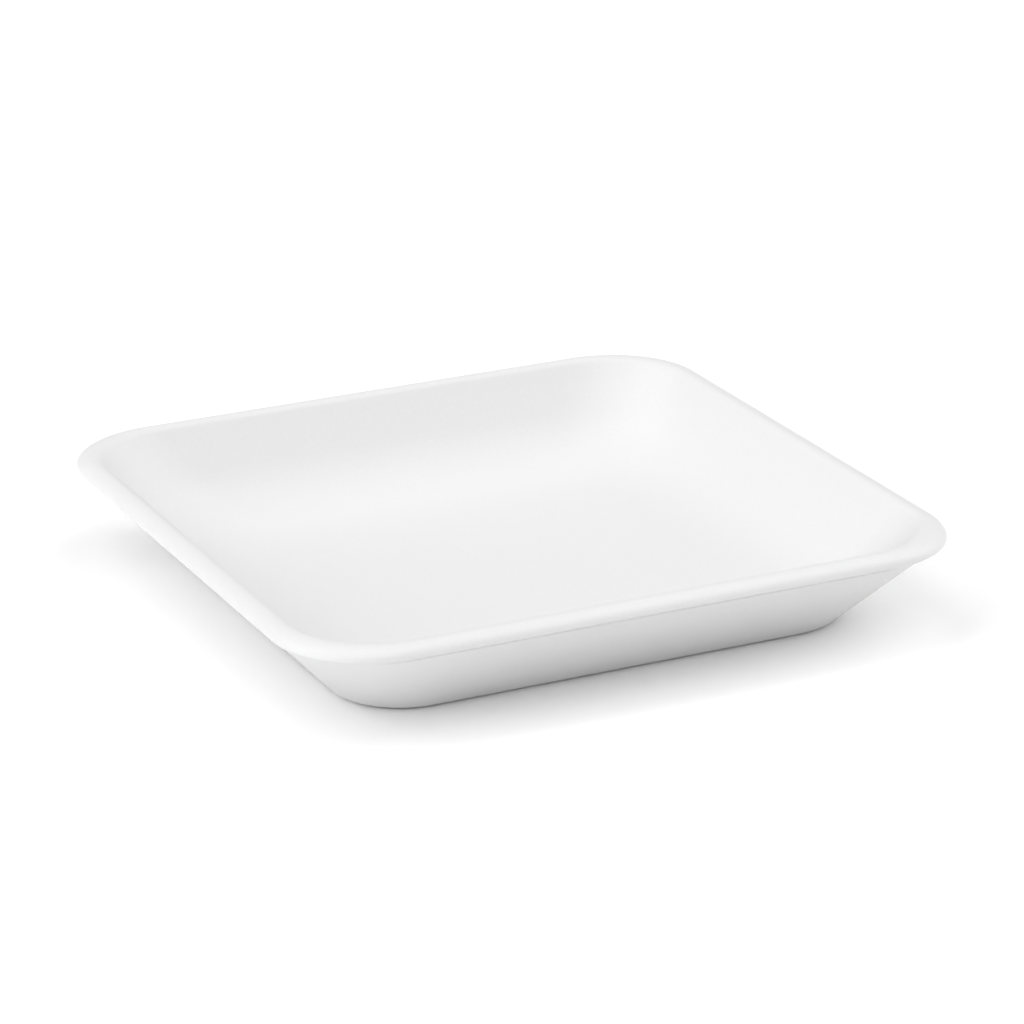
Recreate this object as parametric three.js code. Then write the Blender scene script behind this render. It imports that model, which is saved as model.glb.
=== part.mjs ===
// A square foam meat tray, pressed as one piece from foamed polystyrene sheet.
// Millimetres, +Z up. The origin is the middle of the underside, which rests on the table.
//
// The tray is one closed skin. Its section is drawn once, from the middle of the floor out
// over the rim and back to the middle of the underside, and is then carried round a square
// with round corners. Each point of the section has an inset, which is its distance in from
// the outermost edge of the rim, and a height above the table.

import * as THREE from "three";

// Outside sizes
const trayWidth = 133.35; // along X, over the rim
const trayLength = 133.35; // along Y, over the rim
const trayHeight = 19; // table to the crest of the rim
const baseInset = 15.6; // how far the underside lies in from the rim, on every side

// The sheet
const wallThickness = 3.7; // across a side wall
const floorThickness = 3.4;

// The rim, a bead that swells out past the side wall. Its face is drawn from two ellipses,
// a flat one from the crest out to the nose and a deep one from the nose in to the crease.
const beadCrownWidth = 3.1; // nose to crest, measured level
const beadCrownDepth = 0.75; // crest down to the nose
const beadUnderDepth = 2.4; // the nose down to the lowest point of the deep ellipse
const beadOverhang = 1.6; // how far the nose stands out past the crease
const beadInnerRadius = 3.5;

// Bends of the section
const coveRadius = 24; // inside, between side wall and floor
const heelRadius = 4.7; // outside, between side wall and underside

// Corner radii of the plan
const rimCornerRadius = 18.5;
const baseCornerRadius = 13.6;
const floorCornerRadius = 12; // inside, where the cove runs out into the floor
const leastCornerRadius = 0.5; // a corner stays this round however the other sizes change

// How much of a straight side a bend may take, where it shares the side with another bend
// and where it has the side to itself.
const sharedSide = 0.49;
const ownSide = 0.98;

// Fineness of the mesh
const bendStep = 8; // degrees of bend for each facet of the section
const beadSteps = 8; // facets of each of the bead's two ellipses
const cornerSteps = 15; // facets round one corner of the plan

// The face of the bead, from its crest over the nose to the crease.
function beadFace() {
  const noseHeight = trayHeight - beadCrownDepth;
  const ellipse = (depth, from, to) =>
    new THREE.EllipseCurve(beadCrownWidth, noseHeight, beadCrownWidth, depth, from, to);
  const creaseAngle = Math.acos(THREE.MathUtils.clamp(1 - beadOverhang / beadCrownWidth, -1, 1));
  const crown = ellipse(beadCrownDepth, Math.PI / 2, Math.PI).getPoints(beadSteps);
  const under = ellipse(beadUnderDepth, Math.PI, Math.PI + creaseAngle).getPoints(beadSteps);
  return [...crown, ...under.slice(1)];
}

// The section's other corners before they are rounded: inset, height and radius of the bend.
// The inner wall runs level with the outer one, a wall's thickness away.
function sectionCorners(crease) {
  const wallRun = baseInset - crease.x;
  const wallSlope = wallRun / crease.y; // inset gained for each millimetre down
  const wallAcross = wallThickness * Math.hypot(1, wallSlope); // thickness, measured level
  const innerWallInset = (height) => crease.x + wallAcross + (crease.y - height) * wallSlope;
  const crestInset = Math.min(beadCrownWidth, innerWallInset(trayHeight));
  const middle = Math.min(trayWidth, trayLength) / 2;
  return {
    floorMiddle: { inset: middle, height: floorThickness, radius: 0 },
    cove: { inset: innerWallInset(floorThickness), height: floorThickness, radius: coveRadius },
    rimInner: { inset: innerWallInset(trayHeight), height: trayHeight, radius: beadInnerRadius },
    crest: { inset: crestInset, height: trayHeight, radius: 0 },
    crease: { inset: crease.x, height: crease.y, radius: 0 },
    heel: { inset: baseInset, height: 0, radius: heelRadius },
    baseMiddle: { inset: middle, height: 0, radius: 0 },
  };
}

// Rounds one corner of the section with an arc that touches both of its sides. A radius that
// the sides have no room for is cut down to what fits.
function roundedCorner(before, corner, after) {
  const at = new THREE.Vector2(corner.inset, corner.height);
  const towardsBefore = new THREE.Vector2(before.inset, before.height).sub(at);
  const towardsAfter = new THREE.Vector2(after.inset, after.height).sub(at);
  const share = (neighbour) => (neighbour.radius > 0 ? sharedSide : ownSide);
  const room = Math.min(
    share(before) * towardsBefore.length(),
    share(after) * towardsAfter.length(),
  );
  towardsBefore.normalize();
  towardsAfter.normalize();
  const opening = Math.acos(THREE.MathUtils.clamp(towardsBefore.dot(towardsAfter), -1, 1));
  const turn = Math.PI - opening;
  const reach = Math.min(corner.radius * Math.tan(turn / 2), room);
  if (reach === 0) return [at];

  const radius = reach / Math.tan(turn / 2);
  const centre = towardsBefore
    .clone()
    .add(towardsAfter)
    .setLength(radius / Math.cos(turn / 2))
    .add(at);
  const start = at.clone().addScaledVector(towardsBefore, reach).sub(centre);
  const end = at.clone().addScaledVector(towardsAfter, reach).sub(centre);
  const sense = Math.sign(start.cross(end));
  const steps = Math.max(2, Math.ceil(THREE.MathUtils.radToDeg(turn) / bendStep));
  return Array.from({ length: steps + 1 }, (_, i) =>
    start.clone().rotateAround(new THREE.Vector2(), (sense * turn * i) / steps).add(centre),
  );
}

// The whole section as points of inset and height, each with the corner radius of the plan
// there. The inner skin's corners open out more slowly towards the floor than the outer ones.
function section() {
  const bead = beadFace();
  const c = sectionCorners(bead.at(-1));
  const inner = [
    ...roundedCorner(c.floorMiddle, c.cove, c.rimInner),
    ...roundedCorner(c.cove, c.rimInner, c.crest),
  ];
  const outer = [...bead, ...roundedCorner(c.crease, c.heel, c.baseMiddle)];
  const outerRadius = (inset) =>
    THREE.MathUtils.mapLinear(inset, 0, baseInset, rimCornerRadius, baseCornerRadius);
  const floorInset = inner[0].x;
  const crestInset = inner[inner.length - 1].x;
  const crestRadius = outerRadius(crestInset);
  const innerRadius = (inset) =>
    THREE.MathUtils.mapLinear(inset, crestInset, floorInset, crestRadius, floorCornerRadius);
  const withRadius = (points, radius) =>
    points.map((p) => ({ inset: p.x, height: p.y, cornerRadius: radius(p.x) }));
  return [...withRadius(inner, innerRadius), ...withRadius(outer, outerRadius)];
}

// One ring of the tray: the plan's square with round corners, counter-clockwise from above.
function planRing({ inset, height, cornerRadius }) {
  const halfX = trayWidth / 2 - inset;
  const halfY = trayLength / 2 - inset;
  const largest = Math.min(halfX, halfY) - leastCornerRadius;
  const radius = THREE.MathUtils.clamp(cornerRadius, leastCornerRadius, largest);
  const ring = [];
  for (let corner = 0; corner < 4; corner++) {
    const signX = corner === 0 || corner === 3 ? 1 : -1;
    const signY = corner < 2 ? 1 : -1;
    for (let step = 0; step <= cornerSteps; step++) {
      const angle = (corner + step / cornerSteps) * (Math.PI / 2);
      ring.push(
        new THREE.Vector3(
          signX * (halfX - radius) + radius * Math.cos(angle),
          signY * (halfY - radius) + radius * Math.sin(angle),
          height,
        ),
      );
    }
  }
  return ring;
}

// Triangles of the flat face inside one ring, seen from above.
function facesInside(ring) {
  const outline = ring.map((p) => new THREE.Vector2(p.x, p.y));
  return THREE.ShapeUtils.triangulateShape(outline, []);
}

// Joins the rings into one closed body. The first ring is filled in as the floor of the tray
// and the last as its underside.
function skinOver(rings) {
  const around = rings[0].length;
  const underside = (rings.length - 1) * around;
  const faces = [];
  for (let r = 0; r + 1 < rings.length; r++) {
    for (let i = 0; i < around; i++) {
      const next = (i + 1) % around;
      const [a, b] = [r * around + i, r * around + next];
      const [c, d] = [a + around, b + around];
      faces.push(a, c, b, b, c, d);
    }
  }
  for (const [a, b, c] of facesInside(rings[0])) {
    faces.push(a, b, c);
  }
  for (const [a, b, c] of facesInside(rings.at(-1))) {
    faces.push(underside + a, underside + c, underside + b);
  }

  const geometry = new THREE.BufferGeometry().setFromPoints(rings.flat());
  geometry.setIndex(faces);
  geometry.computeVertexNormals();
  return geometry;
}

const whiteFoam = new THREE.MeshStandardMaterial({
  color: 0xf4f4f3,
  roughness: 0.55,
  metalness: 0,
});

const tray = new THREE.Mesh(skinOver(section().map(planRing)), whiteFoam);
tray.name = "foam_tray";

const model = new THREE.Group();
model.add(tray);

export default model;
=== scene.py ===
import math

import bpy
import numpy as np
from mathutils import Matrix, Vector


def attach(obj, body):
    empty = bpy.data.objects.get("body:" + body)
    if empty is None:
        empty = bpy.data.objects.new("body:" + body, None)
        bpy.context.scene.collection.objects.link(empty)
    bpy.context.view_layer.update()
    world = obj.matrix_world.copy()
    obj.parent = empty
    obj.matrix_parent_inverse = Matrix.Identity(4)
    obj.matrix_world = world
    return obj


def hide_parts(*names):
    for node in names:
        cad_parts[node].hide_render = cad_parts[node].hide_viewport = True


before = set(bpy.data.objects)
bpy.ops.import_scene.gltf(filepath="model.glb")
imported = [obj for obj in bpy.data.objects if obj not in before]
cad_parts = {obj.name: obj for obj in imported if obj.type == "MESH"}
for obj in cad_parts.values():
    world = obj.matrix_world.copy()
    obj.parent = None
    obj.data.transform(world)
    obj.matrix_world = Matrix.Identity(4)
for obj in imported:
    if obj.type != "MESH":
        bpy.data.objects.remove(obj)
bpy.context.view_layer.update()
MM = 0.001


# The camera stands in front of the tray and a little to its left, and looks down on it from
# far off with a long lens, as a product photographer's does. It is rolled by under a degree.
VIEW_AZIMUTH = -0.438
VIEW_ELEVATION = 0.3526
VIEW_DISTANCE = 835.18 * MM
VIEW_SIDEWAYS = 2.186 * MM
VIEW_UPWARDS = 13.160 * MM
VIEW_ROLL = -0.014
LENS = 153.35
CLIP_NEAR = 10 * MM
CLIP_FAR = 20000 * MM

camera_data = bpy.data.cameras.new("camera")
camera_data.lens = LENS
camera_data.clip_start = CLIP_NEAR
camera_data.clip_end = CLIP_FAR
camera = bpy.data.objects.new("camera", camera_data)
bpy.context.collection.objects.link(camera)

back = Vector((
    math.sin(VIEW_AZIMUTH) * math.cos(VIEW_ELEVATION),
    -math.cos(VIEW_AZIMUTH) * math.cos(VIEW_ELEVATION),
    math.sin(VIEW_ELEVATION),
))
right = Vector((math.cos(VIEW_AZIMUTH), math.sin(VIEW_AZIMUTH), 0))
up = back.cross(right)
across = right * math.cos(VIEW_ROLL) + up * math.sin(VIEW_ROLL)
upright = up * math.cos(VIEW_ROLL) - right * math.sin(VIEW_ROLL)
place = Matrix((across, upright, back)).transposed().to_4x4()
place.translation = back * VIEW_DISTANCE + right * VIEW_SIDEWAYS + up * VIEW_UPWARDS
camera.matrix_world = place
bpy.context.scene.camera = camera


# The tray: one sheet of white polystyrene foam, softened and pressed between two moulds. It
# has a flat floor, a broad cove, sloping sides and a rim that swells into a bead, with a
# crease pinched in under it.
TRAY_WIDTH = 133.35 * MM
TRAY_HEIGHT = 19.0 * MM
BASE_INSET = 16.1 * MM
WALL = 3.7 * MM
FLOOR = 3.4 * MM
BEAD_CROWN_WIDTH = 2.9 * MM
BEAD_CROWN_DEPTH = 1.9 * MM
BEAD_UNDER_DEPTH = 1.06 * MM
BEAD_OVERHANG = 1.6 * MM
BEAD_INNER_RADIUS = 2.4 * MM
CREASE_DEPTH = 0.6 * MM
CREASE_WIDTH = 0.5 * MM
COVE_RADIUS = 24 * MM
HEEL_RADIUS = 2.4 * MM
RIM_CORNER = 18.5 * MM
BASE_CORNER = 13.6 * MM
FLOOR_CORNER = 12 * MM

# How much of a side a bend may take, where another bend shares it and where none does.
SHARED_SIDE = 0.49
OWN_SIDE = 0.98

# Fineness of the mesh: points along a bend, rings across a flat and how near its middle they
# go, points round a corner and along a side of the plan, and rings that hold the wall straight
# below the crease, in widths of the crease.
BEND_POINTS = 21
FLAT_RINGS = 12
FLAT_REACH = 0.985
CORNER_POINTS = 25
SIDE_POINTS = 13
WALL_TOP_STEPS = (1, 1.2, 2)


def bend(before, corner, after, radius, share=SHARED_SIDE):
    """Rounds one corner of the section: an arc of the given radius that touches both sides.

    Its centre lies on the line that halves the corner, radius / cos(half the turn) away, and
    the arc runs from the first side to the second in equal steps of angle. A radius that the
    sides have no room for is cut down to what fits.
    """
    to_before = (before - corner) / np.linalg.norm(before - corner)
    to_after = (after - corner) / np.linalg.norm(after - corner)
    turn = math.pi - math.acos(to_before @ to_after)
    room = share * min(np.linalg.norm(before - corner), np.linalg.norm(after - corner))
    reach = min(radius * math.tan(turn / 2), room)
    radius = reach / math.tan(turn / 2)
    middle = (to_before + to_after) / np.linalg.norm(to_before + to_after)
    centre = corner + middle * radius / math.cos(turn / 2)
    start = corner + to_before * reach - centre
    end = corner + to_after * reach - centre
    part = np.linspace(0, 1, BEND_POINTS)[:, None]
    arc = (start * np.sin((1 - part) * turn) + end * np.sin(part * turn)) / math.sin(turn)
    return centre + arc


def bead_face():
    """The bead's face, from its crest over the nose to the crease.

    The crown is a quarter of an ellipse, as wide and as deep as the crown. Below the nose a
    flatter ellipse of the same width runs inwards until it is the overhang in from the nose.
    """
    down = np.linspace(0, math.pi / 2, BEND_POINTS)[:, None]
    crease_angle = math.acos(1 - BEAD_OVERHANG / BEAD_CROWN_WIDTH)
    inwards = np.linspace(0, crease_angle, BEND_POINTS)[1:, None]
    nose = TRAY_HEIGHT - BEAD_CROWN_DEPTH
    crown = np.hstack((
        BEAD_CROWN_WIDTH * (1 - np.sin(down)), nose + BEAD_CROWN_DEPTH * np.cos(down)
    ))
    under = np.hstack((
        BEAD_CROWN_WIDTH * (1 - np.cos(inwards)), nose - BEAD_UNDER_DEPTH * np.sin(inwards)
    ))
    return np.vstack((crown, under))


def tray_section():
    """The tray's section from the middle of its floor, over the rim, to under the middle.

    Each row is an inset from the rim's outermost edge, a height, and the corner radius that
    the plan has there. The radius changes evenly with the inset, on the inside from that of
    the crest to the floor's, and on the outside from the rim's to the underside's. The inner
    wall runs level with the outer one, a wall's thickness away.
    """
    bead = bead_face()
    crease = bead[-1]
    slope = (BASE_INSET - crease[0]) / crease[1]
    wall_across = WALL * math.hypot(1, slope)
    middle = TRAY_WIDTH / 2

    def inside(height):
        return np.array((crease[0] + wall_across + (crease[1] - height) * slope, height))

    floor_middle = np.array((middle, FLOOR))
    cove = inside(FLOOR)
    rim_inner = inside(TRAY_HEIGHT)
    heel = np.array((BASE_INSET, 0))
    base_middle = np.array((middle, 0))

    inner = np.vstack((
        bend(floor_middle, cove, rim_inner, COVE_RADIUS),
        bend(cove, rim_inner, bead[0], BEAD_INNER_RADIUS, share=OWN_SIDE),
    ))
    down_wall = (heel - crease) / np.linalg.norm(heel - crease)
    pinched = crease + CREASE_WIDTH / 2 * down_wall + np.array((CREASE_DEPTH, 0))
    wall_top = crease + CREASE_WIDTH * np.array(WALL_TOP_STEPS)[:, None] * down_wall
    outer = np.vstack((
        bead[:-1], pinched, wall_top, bend(crease, heel, base_middle, HEEL_RADIUS)
    ))

    def outer_corner(inset):
        return RIM_CORNER + (BASE_CORNER - RIM_CORNER) * inset / BASE_INSET

    crest, foot = inner[-1, 0], inner[0, 0]
    down = (inner[:, 0] - crest) / (foot - crest)
    inner_corner = outer_corner(crest) + (FLOOR_CORNER - outer_corner(crest)) * down

    from_middle = np.linspace(FLAT_REACH, 0, FLAT_RINGS, endpoint=False)
    floor = np.column_stack((
        foot + (middle - foot) * from_middle,
        np.full(FLAT_RINGS, FLOOR),
        FLOOR_CORNER * (1 - from_middle),
    ))
    to_middle = from_middle[::-1]
    edge = outer[-1, 0]
    base = np.column_stack((
        edge + (middle - edge) * to_middle,
        np.zeros(FLAT_RINGS),
        outer_corner(edge) * (1 - to_middle),
    ))
    return np.vstack((
        floor,
        np.column_stack((inner, inner_corner)),
        np.column_stack((outer, outer_corner(outer[:, 0]))),
        base,
    ))


def square_with_round_corners():
    """The plan as two fixed grids of vectors, a and b, so that a ring is (h - r) a + r b.

    Here h is half the ring's width and r its corner radius. On a corner, a is the corner of
    a square and b goes round a quarter circle; along a side, a slides and b keeps still.
    """
    square = np.array(((1, 1), (-1, 1), (-1, -1), (1, -1)), float)
    quarter = np.linspace(0, math.pi / 2, CORNER_POINTS)
    along = np.linspace(0, 1, SIDE_POINTS + 2)[1:-1, None]
    slides, turns = [], []
    for k in range(4):
        angle = quarter + k * math.pi / 2
        ahead = (k + 1) * math.pi / 2
        slides += [np.tile(square[k], (CORNER_POINTS, 1))]
        slides += [square[k] + (square[(k + 1) % 4] - square[k]) * along]
        turns += [np.column_stack((np.cos(angle), np.sin(angle)))]
        turns += [np.tile((math.cos(ahead), math.sin(ahead)), (SIDE_POINTS, 1))]
    return np.vstack(slides), np.vstack(turns)


def skin_mesh(name, rings):
    """Makes a closed mesh from a grid of rings: a quad between each pair of neighbours, and
    a fan of triangles from the first and the last ring to a point at its middle."""
    count, around = rings.shape[:2]
    index = np.arange(count * around).reshape(count, around)
    ahead = np.roll(index, -1, axis=1)
    quads = np.stack((index[:-1], index[1:], ahead[1:], ahead[:-1]), axis=-1).reshape(-1, 4)
    first, last = count * around, count * around + 1
    top = np.column_stack((np.full(around, first), index[0], ahead[0]))
    bottom = np.column_stack((np.full(around, last), ahead[-1], index[-1]))
    points = np.vstack((rings.reshape(-1, 3), rings[0].mean(axis=0), rings[-1].mean(axis=0)))
    mesh = bpy.data.meshes.new(name)
    mesh.from_pydata(points.tolist(), [], quads.tolist() + top.tolist() + bottom.tolist())
    mesh.polygons.foreach_set("use_smooth", np.ones(len(mesh.polygons), bool))
    mesh.update()
    return mesh


section = tray_section()
slide, turn_vector = square_with_round_corners()
half = (TRAY_WIDTH / 2 - section[:, 0])[:, None, None]
corner = section[:, 2][:, None, None]
flat = (half - corner) * slide + corner * turn_vector
heights = np.broadcast_to(section[:, 1][:, None, None], flat.shape[:2] + (1,))
tray = bpy.data.objects.new(
    "pressed_tray", skin_mesh("pressed_tray", np.concatenate((flat, heights), axis=2))
)
bpy.context.collection.objects.link(tray)

# Foam skin: the film that the sheet's surface sets to is satin, with the closed cells of the
# foam showing through it as a very fine grain, and slow ripples where the sheet was stretched.
FOAM_WHITE = (0.731, 0.731, 0.731, 1)
FOAM_SHADE = (0.717, 0.717, 0.717, 1)
FOAM_IOR = 1.45
FOAM_ROUGHNESS = (0.5, 0.62)
MOTTLE_SIZE = 0.6 * MM
MOTTLE_DETAIL = 4
MOTTLE_RANGE = (0.3, 0.6)
CELL_SIZE = 0.34 * MM
CELL_DEPTH = 0.02 * MM
CELL_STRENGTH = 0.06
RIPPLE_SIZE = 16 * MM
RIPPLE_DETAIL = 2
RIPPLE_DEPTH = 0.05 * MM
RIPPLE_STRENGTH = 0.15

foam = bpy.data.materials.new("foam_skin")
foam.use_nodes = True
nodes = foam.node_tree.nodes
links = foam.node_tree.links
surface = nodes["Principled BSDF"]
surface.inputs["IOR"].default_value = FOAM_IOR
place_on_tray = nodes.new("ShaderNodeTexCoord")

cells = nodes.new("ShaderNodeTexVoronoi")
cells.inputs["Scale"].default_value = 1 / CELL_SIZE
mottle = nodes.new("ShaderNodeTexNoise")
mottle.inputs["Scale"].default_value = 1 / MOTTLE_SIZE
mottle.inputs["Detail"].default_value = MOTTLE_DETAIL
ripple = nodes.new("ShaderNodeTexNoise")
ripple.inputs["Scale"].default_value = 1 / RIPPLE_SIZE
ripple.inputs["Detail"].default_value = RIPPLE_DETAIL
for pattern in (cells, mottle, ripple):
    links.new(place_on_tray.outputs["Object"], pattern.inputs["Vector"])

tone = nodes.new("ShaderNodeMix")
tone.data_type = "RGBA"
tone.inputs["A"].default_value = FOAM_SHADE
tone.inputs["B"].default_value = FOAM_WHITE
tone_spread = nodes.new("ShaderNodeMapRange")
tone_spread.inputs["From Min"].default_value = MOTTLE_RANGE[0]
tone_spread.inputs["From Max"].default_value = MOTTLE_RANGE[1]
links.new(mottle.outputs["Fac"], tone_spread.inputs["Value"])
links.new(tone_spread.outputs["Result"], tone.inputs["Factor"])
links.new(tone.outputs["Result"], surface.inputs["Base Color"])

gloss = nodes.new("ShaderNodeMapRange")
gloss.inputs["To Min"].default_value = FOAM_ROUGHNESS[0]
gloss.inputs["To Max"].default_value = FOAM_ROUGHNESS[1]
links.new(mottle.outputs["Fac"], gloss.inputs["Value"])
links.new(gloss.outputs["Result"], surface.inputs["Roughness"])

cell_bump = nodes.new("ShaderNodeBump")
cell_bump.inputs["Strength"].default_value = CELL_STRENGTH
cell_bump.inputs["Distance"].default_value = CELL_DEPTH
ripple_bump = nodes.new("ShaderNodeBump")
ripple_bump.inputs["Strength"].default_value = RIPPLE_STRENGTH
ripple_bump.inputs["Distance"].default_value = RIPPLE_DEPTH
links.new(cells.outputs["Distance"], cell_bump.inputs["Height"])
links.new(ripple.outputs["Fac"], ripple_bump.inputs["Height"])
links.new(cell_bump.outputs["Normal"], ripple_bump.inputs["Normal"])
links.new(ripple_bump.outputs["Normal"], surface.inputs["Normal"])

tray.data.materials.append(foam)
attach(tray, "root")
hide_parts("foam_tray")


# The table: a wide matt white board, so pale that only the tray's soft shadow shows on it.
TABLE_HALF = 3000 * MM
TABLE_GAP = 0.1 * MM
TABLE_WHITE = (0.97, 0.97, 0.97, 1)
TABLE_ROUGHNESS = 0.9

table_mesh = bpy.data.meshes.new("table")
table_corners = np.array(((-1, -1, 0), (1, -1, 0), (1, 1, 0), (-1, 1, 0)), float)
table_corners[:, :2] *= TABLE_HALF
table_corners[:, 2] = -TABLE_GAP
table_mesh.from_pydata(table_corners.tolist(), [], [(0, 1, 2, 3)])
table = bpy.data.objects.new("table", table_mesh)
bpy.context.collection.objects.link(table)

table_paint = bpy.data.materials.new("table_white")
table_paint.use_nodes = True
table_surface = table_paint.node_tree.nodes["Principled BSDF"]
table_surface.inputs["Base Color"].default_value = TABLE_WHITE
table_surface.inputs["Roughness"].default_value = TABLE_ROUGHNESS
table_surface.inputs["Specular IOR Level"].default_value = 0
table_mesh.materials.append(table_paint)


# The studio light: six very large soft lamps round the tray. Each row is a lamp's place as
# seen from above, in degrees to the left of the front, its height in degrees, and its strength.
# They light the board to full white, and only a trace of light comes from the rest of the room.
LAMP_SPREAD = math.radians(55)
LAMPS = {
    "left_lamp": (90, 25, 1.79),
    "right_lamp": (-90, 25, 1.15),
    "front_lamp": (0, 25, 0.51),
    "high_right_lamp": (-90, 55, 0.95),
    "high_front_lamp": (0, 55, 0.70),
    "high_back_lamp": (135, 55, 1.26),
}
ROOM_WHITE = (1, 1, 1, 1)
ROOM_LIGHT = 0.02

for name, (turned, raised, strength) in LAMPS.items():
    lamp_data = bpy.data.lights.new(name, "SUN")
    lamp_data.angle = LAMP_SPREAD
    lamp_data.energy = strength
    lamp = bpy.data.objects.new(name, lamp_data)
    turned = math.radians(turned)
    raised = math.radians(raised)
    lamp_towards = Vector((
        -math.sin(turned) * math.cos(raised),
        -math.cos(turned) * math.cos(raised),
        math.sin(raised),
    ))
    lamp.rotation_mode = "QUATERNION"
    lamp.rotation_quaternion = lamp_towards.to_track_quat("Z", "Y")
    bpy.context.collection.objects.link(lamp)

room = bpy.data.worlds.new("room")
room.use_nodes = True
room_surface = room.node_tree.nodes["Background"]
room_surface.inputs["Color"].default_value = ROOM_WHITE
room_surface.inputs["Strength"].default_value = ROOM_LIGHT
bpy.context.scene.world = room
bpy.context.scene.view_settings.view_transform = "Standard"
